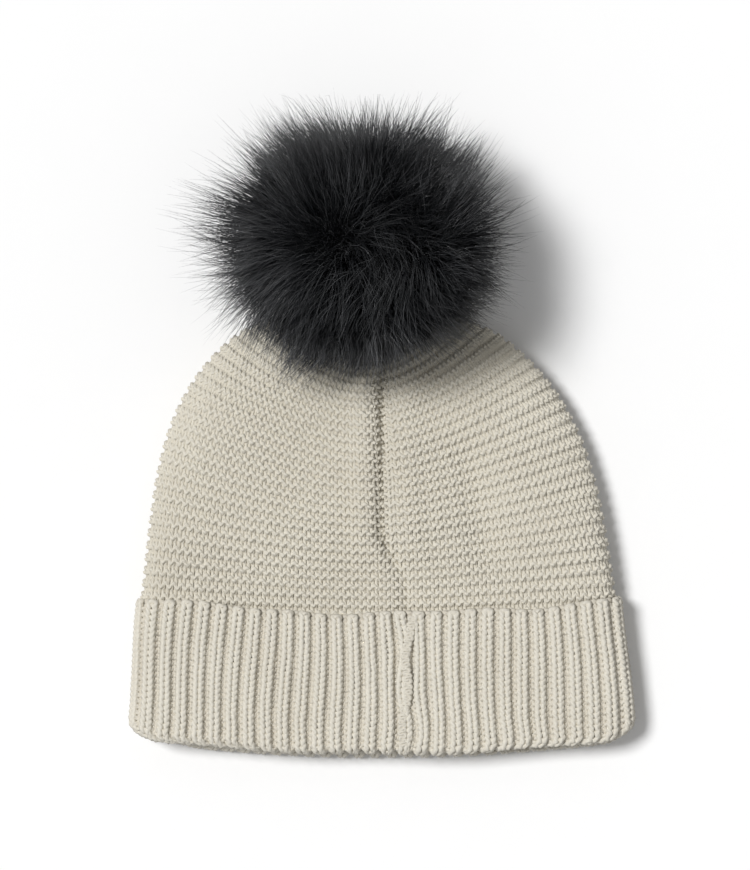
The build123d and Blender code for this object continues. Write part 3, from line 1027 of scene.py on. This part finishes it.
@dataclass
class Rib:
    """One-by-one rib: the band inside, and the cuff that turns up over it."""

    yarn: Yarn = field(
        default_factory=lambda: Yarn(
            radius=1.28, points=10, lean=0.21, height=1.8, rib=0.6, relief=1.5, uneven=0.14
        )
    )
    band_yarn: Yarn = field(
        default_factory=lambda: Yarn(
            radius=0.82, points=8, sides=4, lean=0.2, height=1.7, rib=0.3, relief=0.9, uneven=0.14
        )
    )
    wales_a_side: int = 60
    cuff_rows: int = 28
    band_rows: int = 24
    layer: float = 3.1
    layer_gap: float = 3.2
    head_rise: float = 67.3
    head_taper: float = 5.0
    hem_bow: float = 8.0
    knit_share: float = 0.7
    steps_a_wale: int = 4

    def __post_init__(self) -> None:
        """Read the rib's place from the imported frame."""
        low, high = box_mm("turned_up_cuff")
        self.inner_low, self.inner_high = box_mm("inner_band")
        self.hem_y = low[1]
        self.middle_z = (low[2] + high[2]) / 2.0
        self.outer_depth = (high[2] - low[2]) / 2.0 - self.layer
        self.inner_depth = self.outer_depth - self.layer_gap
        self.inner_width = self.inner_high[0] - self.layer
        self.foot_width = high[0] - self.layer + 0.6

    def uneven_wales(self, ring: np.ndarray, count: int) -> np.ndarray:
        """Respace an even ring so that knit wales are wider than purl ones.

        Args:
            ring: Evenly spaced points of one row.
            count: Steps in each wale.

        Returns:
            The ring with its points moved along it.
        """
        total = len(ring)
        wale = np.arange(total) / count
        pair, within = np.floor(wale / 2.0), np.mod(wale, 2.0)
        knit, purl = 2.0 * self.knit_share, 2.0 * (1.0 - self.knit_share)
        moved = np.where(within < 1.0, within * knit, knit + (within - 1.0) * purl)
        stops = (2.0 * pair + moved) * count
        looped = np.concatenate([ring, ring[:1]])
        return np.stack(
            [np.interp(stops, np.arange(total + 1), looped[:, i]) for i in range(3)], axis=1
        )

    def bow(self, x: np.ndarray) -> np.ndarray:
        """How far a row curves up towards the sides of the hat."""
        return self.hem_bow * (x / self.foot_width) ** 2

    def ring(self, spread: float, width: float, rise: float) -> np.ndarray:
        """One row of the rib.

        Args:
            spread: 0 at the inner layer's depth and 1 at the outer's.
            width: Half its width.
            rise: Its rise at the middle of the hat.

        Returns:
            Points of the row.
        """
        depth = self.inner_depth + (self.outer_depth - self.inner_depth) * spread
        section = Section(0.0, width, 0.0, self.middle_z, depth, depth, 20.0)
        ring = section.points(self.wales_a_side * self.steps_a_wale)
        ring = self.uneven_wales(ring, self.steps_a_wale)
        corner = np.maximum(np.abs(ring[:, 0]) - 103.0, 0.0) / 15.0
        corner_lift = 4.5 * corner**2 * (1.0 - float(smooth(rise, 8.0, 60.0)))
        ring[:, 1] = self.hem_y + rise + (self.bow(ring[:, 0]) + corner_lift)
        return ring

    def cuff_grid(self) -> np.ndarray:
        """Points of the cuff, from inside its fold round the hem and up to its free edge."""
        fold = (self.outer_depth - self.inner_depth) / 2.0
        foot = self.layer + fold
        rows = [
            self.ring(0.0, self.inner_width, rise) for rise in np.linspace(foot + 6.0, foot, 5)[:-1]
        ]
        for turn in np.linspace(0.0, math.pi, 9):
            spread = (1.0 - math.cos(turn)) / 2.0
            width = self.inner_width + (self.foot_width - self.inner_width) * spread
            rows.append(self.ring(spread, width, foot - fold * math.sin(turn)))
        for share in np.linspace(0.0, 1.0, 40)[1:]:
            width = self.foot_width - self.head_taper * share
            rows.append(self.ring(1.0, width, foot + (self.head_rise - foot) * share))
        grid = self.shaped(np.stack(rows))
        count = self.cuff_rows * 3 + 1
        return np.stack([even_steps(grid[:, i], count) for i in range(grid.shape[1])], axis=1)

    def shaped(self, grid: np.ndarray) -> np.ndarray:
        """Let the cuff wander, its free edge lift, and its front layer peep out at the left."""
        x, z = grid[..., 0].copy(), grid[..., 2].copy()
        rise = grid[..., 1] - self.hem_y
        head = smooth(rise, 40.0, 74.0)
        foot = 1.0 - smooth(rise, 8.0, 34.0)
        lower = smooth(self.middle_z - z, 0.0, 6.0)
        upper = smooth(z - self.middle_z, 0.0, 6.0)
        grid[..., 1] += head * (0.9 * np.sin(x / 17.0) + 0.6 * np.sin(x / 7.3 + 1.0))
        grid[..., 1] += foot * (0.5 * np.sin(x / 12.0 + 2.0)) * (1.0 - lower)
        grid[..., 1] -= foot * lower * 2.2 * smooth(x, -104.0, -84.0)
        grid[..., 0] += 0.7 * np.sin(rise / 15.0 + x / 19.0) * smooth(rise, 4.0, 20.0)
        grid[..., 2] += upper * head * (0.5 + 0.9 * smooth(x, 84.0, 112.0))
        grid[..., 2] += upper * 0.45 * np.sin(x / 21.0 + rise / 13.0)
        # Two ribs run together along the wandering line of the cuff's seam.
        seam = 12.0 + 2.2 * np.sin(rise / 13.0 + 0.6)
        near = hump(x, seam, 7.0) * upper * smooth(rise, 3.0, 10.0)
        grid[..., 0] += 1.3 * near * np.sin(rise / 6.5)
        grid[..., 2] -= 0.9 * hump(x, seam - 4.3, 1.7) * upper
        return grid

    def band_grid(self) -> np.ndarray:
        """Points of the band, whose rows straighten towards the crown."""
        low = self.inner_low[1] - self.hem_y + 3.4
        high = self.inner_high[1] - self.hem_y + 1.0
        count = self.band_rows * 2
        bow = self.bow(self.ring(0.0, self.inner_width, 0.0)[:, 0])
        rows = []
        for share, rise in zip(np.linspace(0.0, 1.0, count), np.linspace(low, high, count)):
            row = self.ring(0.0, self.inner_width, rise)
            row[:, 1] -= bow * share
            rows.append(row)
        return np.stack(rows)

    def layer_pieces(
        self, kit: Kit, part: str, node: str, body: str, grid: np.ndarray, ground_rows: int,
        yarn: Yarn, rows: int, seed: float,
    ) -> list[bpy.types.Object]:
        """Knit one layer of the rib in two pieces over a thin closed ground.

        Args:
            kit: The loop tree.
            part: What the names of its pieces start with.
            node: CAD node that it is shown for.
            body: Body that it rides on.
            grid: Points as [row][wale step][xyz].
            ground_rows: Rows of them that the ground keeps.
            yarn: How it is knitted.
            rows: Rows of loops.
            seed: Where the unevenness is read.

        Returns:
            The pieces.
        """
        kept = np.linspace(0, len(grid) - 1, ground_rows).astype(int)
        thin = grid[np.ix_(kept, np.arange(0, grid.shape[1], self.steps_a_wale))]
        ground = closed_shell(f"{part}_ground", thin, 0.5, 1.2)
        names = (f"{part}_back", f"{part}_front")
        knitted = yarn.sectors(kit, grid, names, rows, self.steps_a_wale, RIB_YARN, seed)
        # The ground's darker cream is painted shade between the loops.
        pieces = [dress(ground, KNIT_SHADE_GROUND, node, body)]
        return pieces + [dress(piece, RIB_YARN, node, body) for piece in knitted]

    def build_band(self, kit: Kit) -> list[bpy.types.Object]:
        """Knit the band that runs on from the crown, inside the cuff."""
        return self.layer_pieces(
            kit, "band", "inner_band", "hat", self.band_grid(), 16,
            self.band_yarn, self.band_rows, 11.0,
        )

    def build_cuff(self, kit: Kit) -> list[bpy.types.Object]:
        """Knit the cuff, which slides over the band as it is turned down."""
        return self.layer_pieces(
            kit, "cuff", "turned_up_cuff", "cuff", self.cuff_grid(), 58,
            self.yarn, self.cuff_rows, 7.0,
        )


# ---- Seams and label -----------------------------------------------------------------------


@dataclass(frozen=True)
class Seam:
    """One line of stitches along a seam.

    Args:
        name: Name of the piece.
        node: CAD node that it is shown for, whose length it keeps to.
        body: Body that it rides on.
        yarn: How it is stitched.
        width: Width of the stitches.
        stitches: How many there are.
        seed: Where its unevenness is read.
        corners: (share of the node's length, x) at each corner of its line.
        over: How far it lies over the middle of its node.
        height: Height at which it lies, instead of over its node.
        sway: How far it wanders to each side.
    """

    name: str
    node: str
    body: str
    yarn: Yarn
    width: float
    stitches: int
    seed: float
    corners: tuple[tuple[float, float], ...] = (
        (0.0, 10.0), (0.309, 12.0), (0.517, 0.0), (1.0, 0.0),
    )
    over: float = 0.0
    height: float | None = None
    sway: float = 0.0

    def build(self, kit: Kit) -> bpy.types.Object:
        """Stitch the seam along its line."""
        low, high = box_mm(self.node)
        level = (low[2] + high[2]) / 2.0 + self.over if self.height is None else self.height
        along = np.linspace(0.0, 1.0, 80)
        shares, xs = zip(*self.corners)
        y = low[1] + 0.8 + (high[1] - low[1] - 1.6) * along
        x = np.interp(along, shares, xs) + self.sway * np.sin(y / 5.0)
        sheet = strip_sheet(np.stack([x, y, np.full_like(along, level)], axis=1), self.width)
        piece = self.yarn.knit(
            kit, self.name, sheet, self.stitches, 1, SEAM_YARN, seed=self.seed
        )
        return dress(piece, SEAM_YARN, self.node, self.body)


SEAMS = (
    Seam(
        "seam_allowance", "back_seam_allowance", "hat",
        Yarn(radius=0.9, points=10, lean=0.17, height=1.0, garter=0.4), 3.2, 56, 21.0,
    ),
    Seam(
        "seam_linking_thread", "back_seam_thread", "hat",
        Yarn(radius=0.3, points=8, lean=0.0, height=0.8, uneven=0.1), 1.6, 50, 23.0, over=-0.4,
    ),
    Seam(
        "cuff_seam_overcast", "cuff_seam_yarn", "cuff",
        Yarn(radius=0.95, points=10, lean=0.16, height=0.62, uneven=0.12), 5.2, 24, 29.0,
        ((0.0, 10.2), (0.3, 11.6), (0.7, 12.6), (1.0, 14.0)), height=24.6, sway=0.9,
    ),
)


@dataclass
class CareLabel:
    """Blank satin label inside the back of the band."""

    width: float = 36.0
    length: float = 22.0
    thickness: float = 0.45
    play: float = 0.2
    tacking: Yarn = field(
        default_factory=lambda: Yarn(radius=0.16, sides=4, lean=0.0, height=0.9, uneven=0.0)
    )

    def build(self, kit: Kit) -> list[bpy.types.Object]:
        """Make the label as a thin soft sheet, and the stitches along its head."""
        low, high = box_mm("care_label")
        across = np.linspace(low[0] + self.play, high[0] - self.play, 37)
        along = np.linspace(low[1] + self.play, high[1] - self.play, 23)
        x, y = np.meshgrid(across, along)
        middle = (low[2] + high[2]) / 2.0 + 0.08 * np.sin(x / 4.0) * np.sin(y / 3.0)
        upper, lower = (
            np.stack([x, y, middle + side * self.thickness], axis=-1) for side in (0.5, -0.5)
        )
        label = slab("care_label_satin", upper, lower)
        dress(label, LABEL_SATIN, "care_label", "hat")
        low, high = box_mm("label_tacks")
        line = np.linspace(low, high, 60)
        line[:, 1], line[:, 2] = high[1] - 0.7, (low[2] + high[2]) / 2.0 - 0.1
        tacks = self.tacking.knit(
            kit, "label_tacking", strip_sheet(line, 1.2), 22, 1, LABEL_THREAD, seed=31.0
        )
        return [label, dress(tacks, LABEL_THREAD, "label_tacks", "hat")]


# ---- Apex: the gathered knit and the snap that holds the pom -------------------------------


@dataclass
class ApexSnap:
    """Gathered top of the crown, its drawstring, and the snap's metal and plastic parts."""

    string: Yarn = field(
        default_factory=lambda: Yarn(radius=0.5, points=10, lean=0.1, height=0.7, uneven=0.1)
    )
    string_radius: float = 6.3
    string_reach: float = 4.8
    pleats: float = 12.0
    pleat_depth: float = 0.05
    profile: tuple[tuple[float, float], ...] = (
        (0.0, -6.4), (2.6, -6.2), (4.8, -5.4), (6.5, -3.8), (7.6, -1.4), (7.8, 1.0),
        (7.2, 2.6), (5.6, 3.5), (3.0, 3.85), (0.0, 3.9),
    )

    def build(self, kit: Kit, crown: Crown) -> list[bpy.types.Object]:
        """Make the gather and drawstring, and give the kept hardware its finishes.

        Args:
            kit: The loop tree.
            crown: The crown, for the stem's place.

        Returns:
            The new pieces.
        """

        def pleated(out: np.ndarray) -> np.ndarray:
            """How far the gather's pleats stand out, from a place about the apex."""
            angle = np.arctan2(out @ crown.tilt, out[:, 0])
            reach = np.linalg.norm(out - np.outer(out @ crown.stem, crown.stem), axis=1)
            return 1.0 + self.pleat_depth * np.cos(self.pleats * angle) * smooth(reach, 2.0, 6.0)

        knot = turned_shell("apex_gather", crown.apex, crown.stem, list(self.profile), 48)
        swell(knot, crown.apex, pleated)
        dress(knot, CROWN_YARN, "crown_gather", "crown_apex")
        centre = crown.apex + crown.stem * self.string_reach
        hoop = hoop_sheet(centre, crown.stem, self.string_radius, 1.4, 90)
        string = self.string.knit(
            kit, "apex_drawstring", hoop, 18, 1, SEAM_YARN, margin=0.2, seed=37.0
        )
        dress(string, SEAM_YARN, "crown_drawstring", "crown_apex")
        for node in ("snap_backing_cap", "snap_stud", "snap_spring_ring", "snap_socket"):
            self.refinish(node, SNAP_METAL)
        self.refinish("pom_base_disc", DISC_PLASTIC)
        return [knot, string]

    @staticmethod
    def refinish(node: str, finish: Finish) -> None:
        """Give a kept CAD node its finish in every slot."""
        part = bpy.data.objects[node]
        if not part.data.materials:
            part.data.materials.append(finish.material())
        for slot in part.material_slots:
            slot.material = finish.material()


# ---- Pom -----------------------------------------------------------------------------------


def pile_tree() -> Kit:
    """Tree that grows tapered, clumped hairs out of a closed core.

    Returns:
        The tree.
    """
    kit = Kit(
        "grow_pile",
        {
            "Int": ("Hairs", "Locks", "Seed"),
            "Float": (
                "Length", "Length spread", "Thickness", "Clump", "Stray", "Curl", "Droop",
                "Table", "Ceiling", "Far",
            ),
            "Vector": ("Sweep", "Centre"),
            "Material": ("Hair",),
        },
    )
    b, given = kit.bench, kit.inputs
    seed = given["Seed"]
    order = b.get("GeometryNodeInputIndex")
    place = b.get("GeometryNodeInputPosition")

    def chance(number: Val, offset: float) -> Val:
        """Random share of 1 for a number, from a seed of its own."""
        inputs = {"ID": number, "Seed": seed + offset}
        return b.get("FunctionNodeRandomValue", inputs, 1, data_type="FLOAT")

    def scatter(count: Val, offset: float) -> tuple[Val, Val]:
        """Points over the core, thinned to a count, and the core's normal at them."""
        density = 3.0e6
        node = b.add(
            "GeometryNodeDistributePointsOnFaces",
            {"Mesh": given["Geometry"], "Density": density, "Seed": seed + offset},
            distribute_method="RANDOM",
        )
        points = Val(b, node.outputs["Points"])
        total = b.get(
            "GeometryNodeAttributeDomainSize", {"Geometry": points}, component="POINTCLOUD"
        )
        over = b.get(
            "FunctionNodeCompare", {0: chance(order, offset) * total, 1: count},
            data_type="FLOAT", operation="GREATER_THAN",
        )
        inputs = {"Geometry": points, "Selection": over}
        thinned = b.get("GeometryNodeDeleteGeometry", inputs, domain="POINT")
        return thinned, Val(b, node.outputs["Normal"])

    locks, _ = scatter(given["Locks"], 91.0)
    hairs, normal = scatter(given["Hairs"], 0.0)
    hairs = b.store(hairs, "root", place)
    hairs = b.store(hairs, "grow", normal)
    nearest = b.get("GeometryNodeSampleNearest", {"Geometry": locks}, domain="POINT")
    lock_place = b.get(
        "GeometryNodeSampleIndex", {"Geometry": locks, "Value": place, "Index": nearest},
        data_type="FLOAT_VECTOR", domain="POINT",
    )
    hairs = b.store(hairs, "lock_root", lock_place)
    hairs = b.store(hairs, "lock", chance(order, 11.0).mad(0.5, chance(nearest, 5.0) * 0.5))
    hairs = b.store(hairs, "grown", chance(order, 17.0))
    wild = b.get(
        "FunctionNodeRandomValue",
        {"ID": order, "Seed": seed + 23.0, 0: (-1.0, -1.0, -1.0), 1: (1.0, 1.0, 1.0)},
        data_type="FLOAT_VECTOR",
    )
    hairs = b.store(hairs, "wild", wild)
    stalk = b.get(
        "GeometryNodeCurvePrimitiveLine", {"Start": (0.0, 0.0, 0.0), "End": (0.0, 0.0, MM)}
    )
    stalk = b.get("GeometryNodeResampleCurve", {"Curve": stalk, "Count": 6})
    stalk = b.store(stalk, "along", b.get("GeometryNodeSplineParameter", out="Factor"))
    planted = b.get("GeometryNodeInstanceOnPoints", {"Points": hairs, "Instance": stalk})
    strands = b.get("GeometryNodeRealizeInstances", {0: planted})

    share, grown = b.stored("along", "FLOAT"), b.stored("grown", "FLOAT")
    root, lock_root = b.stored("root"), b.stored("lock_root")
    length = given["Length"] * ((grown - 0.5) * given["Length spread"] + 1.0)
    reach, bend = share * length, share**2.0 * length
    way = b.calc("NORMALIZE", b.stored("grow") + b.stored("wild") * given["Stray"])
    straight = root + way * reach
    lock_path = lock_root + b.calc("NORMALIZE", lock_root - given["Centre"]) * reach
    path = straight + (lock_path - straight) * (share**2.0 * given["Clump"])
    curl = (b.noise(root, 34.0, 1.0, "Color") - (0.5, 0.5, 0.5)) * (bend * given["Curl"])
    droop = b.join(0.0, 0.0, bend * (given["Droop"] * -1.0))
    path = path + (curl + (given["Sweep"] * bend + droop))
    # Hairs stop raggedly at the table, under the ceiling and short of the far end.
    x, y, z = b.split(path)
    ragged = grown * 0.005
    far = b.calc("MINIMUM", y, given["Far"] - ragged)
    high = b.calc("MINIMUM", z, given["Ceiling"] - ragged)
    path = b.join(x, far, b.calc("MAXIMUM", high, given["Table"] + grown * 0.004))
    combed = b.get("GeometryNodeSetPosition", {"Geometry": strands, "Position": path})
    thick = (1.0 - share**1.6 * 0.93) * given["Thickness"]
    combed = b.get("GeometryNodeSetCurveRadius", {"Curve": combed, "Radius": thick})
    ring = b.get("GeometryNodeCurvePrimitiveCircle", {"Resolution": 3, "Radius": 1.0})
    tube = b.add(
        "GeometryNodeCurveToMesh", {"Curve": combed, "Profile Curve": ring, "Fill Caps": True}
    )
    if "Scale" in tube.inputs:
        b.feed(tube.inputs["Scale"], b.get("GeometryNodeInputRadius"))
    kit.close(Val(b, tube.outputs[0]), given["Hair"])
    return kit


@dataclass(frozen=True)
class Coat:
    """One coat of the pom's pile."""

    name: str
    hairs: int
    locks: int
    length: float
    spread: float
    thickness: float
    clump: float
    stray: float
    curl: float
    droop: float
    seed: int
    finish: Finish = PILE_GUARD


@dataclass
class Pom:
    """Black pile pom on its stuffed core."""

    core_half_width: float = 42.0
    core_half_depth: float = 28.5
    wad_half_depth: float = 26.0
    sweep: tuple[float, float, float] = (-0.05, 0.0, 0.0)
    table: float = 0.7
    proud: float = 11.0
    far_proud: float = 17.0
    thread_radius: float = 14.1
    coats: tuple[Coat, ...] = (
        Coat("pom_under_pile", 5400, 700, 20.5, 0.5, 0.42, 0.35, 0.35, 0.6, 0.05, 3),
        Coat("pom_pile_one", 5400, 420, 25.5, 0.4, 0.33, 0.65, 0.36, 1.8, 0.06, 101),
        Coat("pom_pile_two", 5400, 240, 28.0, 0.5, 0.26, 0.55, 0.60, 2.1, 0.06, 203),
        # The guard hairs' grey is a painted highlight on the black pile.
        Coat("pom_guard_hairs", 4200, 260, 33.0, 0.6, 0.18, 0.2, 0.85, 1.5, 0.08, 307, PILE_HIGHLIGHT_STRAY),
    )

    def __post_init__(self) -> None:
        """Read the pom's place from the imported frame."""
        low, self.high = box_mm("pom_fur_shell")
        self.centre = (low + self.high) / 2.0
        self.axis = np.array(joint("pom_unsnap")["axis"])

    def ball(
        self, name: str, half_width: float, half_depth: float, wobble: float
    ) -> bpy.types.Object:
        """Soft oval body about the stem, as a closed padded piece.

        Args:
            name: Name of the piece.
            half_width: Half its width across the stem.
            half_depth: Half its depth along the stem.
            wobble: How lumpy it is, as a share of its size.

        Returns:
            The piece.
        """

        def lumpy(out: np.ndarray) -> np.ndarray:
            """How far its lumps stand out, from a place about its centre."""
            x, y, z = out.T
            return 1.0 + wobble * (np.sin(x / 9.0) * np.sin(y / 11.0 + 1.0) + np.sin(z / 8.0))

        turns = np.linspace(-math.pi / 2.0, math.pi / 2.0, 41)
        profile = [(half_width * math.cos(t), half_depth * math.sin(t)) for t in turns]
        profile[0], profile[-1] = (0.0, -half_depth), (0.0, half_depth)
        body = turned_shell(name, self.centre, self.axis, profile, 80)
        swell(body, self.centre, lumpy)
        return body

    def grow(self, kit: Kit, backing: bpy.types.Object, coat: Coat) -> bpy.types.Object:
        """Grow one coat of hairs out of the backing.

        Args:
            kit: The pile tree.
            backing: The backing, which is kept.
            coat: The coat.

        Returns:
            The coat's piece.
        """
        seeded = link("seeded", backing.data.copy())
        hair = kit.make(
            coat.name,
            seeded,
            {
                "Hairs": coat.hairs,
                "Locks": coat.locks,
                "Length": coat.length * MM,
                "Length spread": coat.spread,
                "Thickness": coat.thickness * MM,
                "Clump": coat.clump,
                "Stray": coat.stray,
                "Curl": coat.curl,
                "Droop": coat.droop,
                "Sweep": self.sweep,
                "Centre": tuple(self.centre * MM),
                "Table": self.table * MM,
                "Ceiling": (self.high[2] + self.proud) * MM,
                "Far": (self.high[1] + self.far_proud) * MM,
                "Seed": coat.seed,
                "Hair": coat.finish.material(),
            },
        )
        return dress(hair, coat.finish, "pom_fur_shell", "pom")

    def build(self, kit: Kit) -> list[bpy.types.Object]:
        """Make the stuffing, the backing and the coats of pile.

        Args:
            kit: The pile tree.

        Returns:
            The pieces.
        """
        low, high = box_mm("pom_stuffing")
        wad_half_width = (high[0] - low[0]) / 2.0 - 0.8
        stuffing = self.ball("pom_stuffing_wad", wad_half_width, self.wad_half_depth, 0.008)
        dress(stuffing, POLYESTER, "pom_stuffing", "pom")
        backing = self.ball("pom_backing", self.core_half_width, self.core_half_depth, 0.01)
        dress(backing, PILE_GROUND, "pom_fur_shell", "pom")
        return [stuffing, backing, *(self.grow(kit, backing, coat) for coat in self.coats)]

    def build_thread(self, kit: Kit) -> list[bpy.types.Object]:
        """Make the thread that draws the backing's mouth shut."""
        low, high = box_mm("pom_gather_thread")
        hoop = hoop_sheet((low + high) / 2.0, self.axis, self.thread_radius, 1.0, 120)
        thread = Yarn(radius=0.35, lean=0.08, height=0.7, uneven=0.05).knit(
            kit, "pom_drawn_thread", hoop, 30, 1, PILE_THREAD, margin=0.2, seed=41.0
        )
        return [dress(thread, PILE_THREAD, "pom_gather_thread", "pom")]


# ---- Studio --------------------------------------------------------------------------------


@dataclass
class Studio:
    """Pale floor, soft light and the camera; lengths in metres."""

    camera_height: float = 2.4
    view_height: float = 0.411
    view_centre: tuple[float, float] = (-0.0028, 0.0021)
    plane_z: float = 0.02
    sensor: float = 36.0
    floor_size: float = 8.0
    floor_drop: float = 0.0002
    sun_strength: float = 2.5
    sun_angle: float = 0.30
    sun_way: tuple[float, float, float] = (-0.50, 0.22, 1.0)
    sky_strength: float = 0.32

    def build(self) -> None:
        """Set up the floor, the lights, the world and the camera."""
        scene = bpy.context.scene
        scene.view_settings.view_transform = "Standard"
        self._floor()
        self._light()
        self._world()
        lens = bpy.data.cameras.new("camera")
        lens.sensor_width = self.sensor
        lens.lens = self.sensor * (self.camera_height - self.plane_z) / self.view_height
        lens.clip_end = 20.0
        camera = bpy.data.objects.new("camera", lens)
        camera.location = (*self.view_centre, self.camera_height)
        scene.collection.objects.link(camera)
        scene.camera = camera

    def _seen(self, bench: Bench) -> Val:
        """1 for what the camera sees, directly or in a gloss."""
        path = bench.add("ShaderNodeLightPath").outputs
        kinds = ("Is Camera Ray", "Is Glossy Ray", "Is Transmission Ray")
        camera, glossy, through = (Val(bench, path[kind]) for kind in kinds)
        return bench.calc("MAXIMUM", bench.calc("MAXIMUM", camera, glossy), through)

    def _floor(self) -> None:
        """Wide pale floor with a very gentle grain, brighter where it is looked at."""
        ticks = np.linspace(-self.floor_size / 2.0, self.floor_size / 2.0, 9)
        x, y = np.meshgrid(ticks, ticks)
        rows = np.stack([x, y, np.full_like(x, -self.floor_drop)], axis=-1) / MM
        floor = sheet_mesh(rows, "floor")
        paint = bpy.data.materials.new("pale_floor")
        bench = Bench.cleared(paint)
        tone = bench.noise(bench.get("ShaderNodeTexCoord", out="Object"), 40.0, 2.0).mad(0.01, 0.985)
        white = bench.get("ShaderNodeCombineColor", {0: tone, 1: tone, 2: tone})
        plain = bench.get("ShaderNodeBsdfDiffuse", {"Color": (0.72, 0.72, 0.72, 1.0)})
        bright = bench.get("ShaderNodeBsdfDiffuse", {"Color": white})
        mix = bench.get("ShaderNodeMixShader", {0: self._seen(bench), 1: plain, 2: bright})
        bench.add("ShaderNodeOutputMaterial", {"Surface": mix})
        floor.data.materials.append(paint)

    def _light(self) -> None:
        """Soft sun from the upper left."""
        lamp = bpy.data.lights.new("soft_key", "SUN")
        lamp.energy = self.sun_strength
        lamp.angle = self.sun_angle
        key = bpy.data.objects.new("soft_key", lamp)
        key.rotation_mode = "QUATERNION"
        key.rotation_quaternion = Vector(self.sun_way).to_track_quat("Z", "Y")
        bpy.context.scene.collection.objects.link(key)

    def _world(self) -> None:
        """Even white surroundings, weaker as light than as background."""
        world = bpy.data.worlds.new("surroundings")
        bench = Bench.cleared(world)
        strength = self._seen(bench).mad(1.0 - self.sky_strength, self.sky_strength)
        sky = bench.get(
            "ShaderNodeBackground", {"Color": (1.0, 1.0, 1.0, 1.0), "Strength": strength}
        )
        bench.add("ShaderNodeOutputWorld", {"Surface": sky})
        bpy.context.scene.world = world


# ---- Whole hat -----------------------------------------------------------------------------


def report(part: str, pieces: list[bpy.types.Object]) -> None:
    """Log each piece of a part and its triangles."""
    for piece in pieces:
        triangles = sum(len(face.vertices) - 2 for face in piece.data.polygons)
        LOG.info("%s: %s, %d triangles", part, piece.name, triangles)


def main() -> None:
    """Build the hat part by part, then the studio round it."""
    logging.basicConfig(level=logging.INFO, format="%(name)s %(message)s")
    loops, pile = loop_tree(), pile_tree()
    crown, rib, pom = Crown(), Rib(), Pom()
    report("crown", crown.build(loops))
    report("band", rib.build_band(loops))
    report("cuff", rib.build_cuff(loops))
    report("seams", [seam.build(loops) for seam in SEAMS])
    report("label", CareLabel().build(loops))
    report("apex", ApexSnap().build(loops, crown))
    report("pom", pom.build(pile))
    report("pom thread", pom.build_thread(loops))
    Studio().build()


if __name__ == "__main__":
    main()
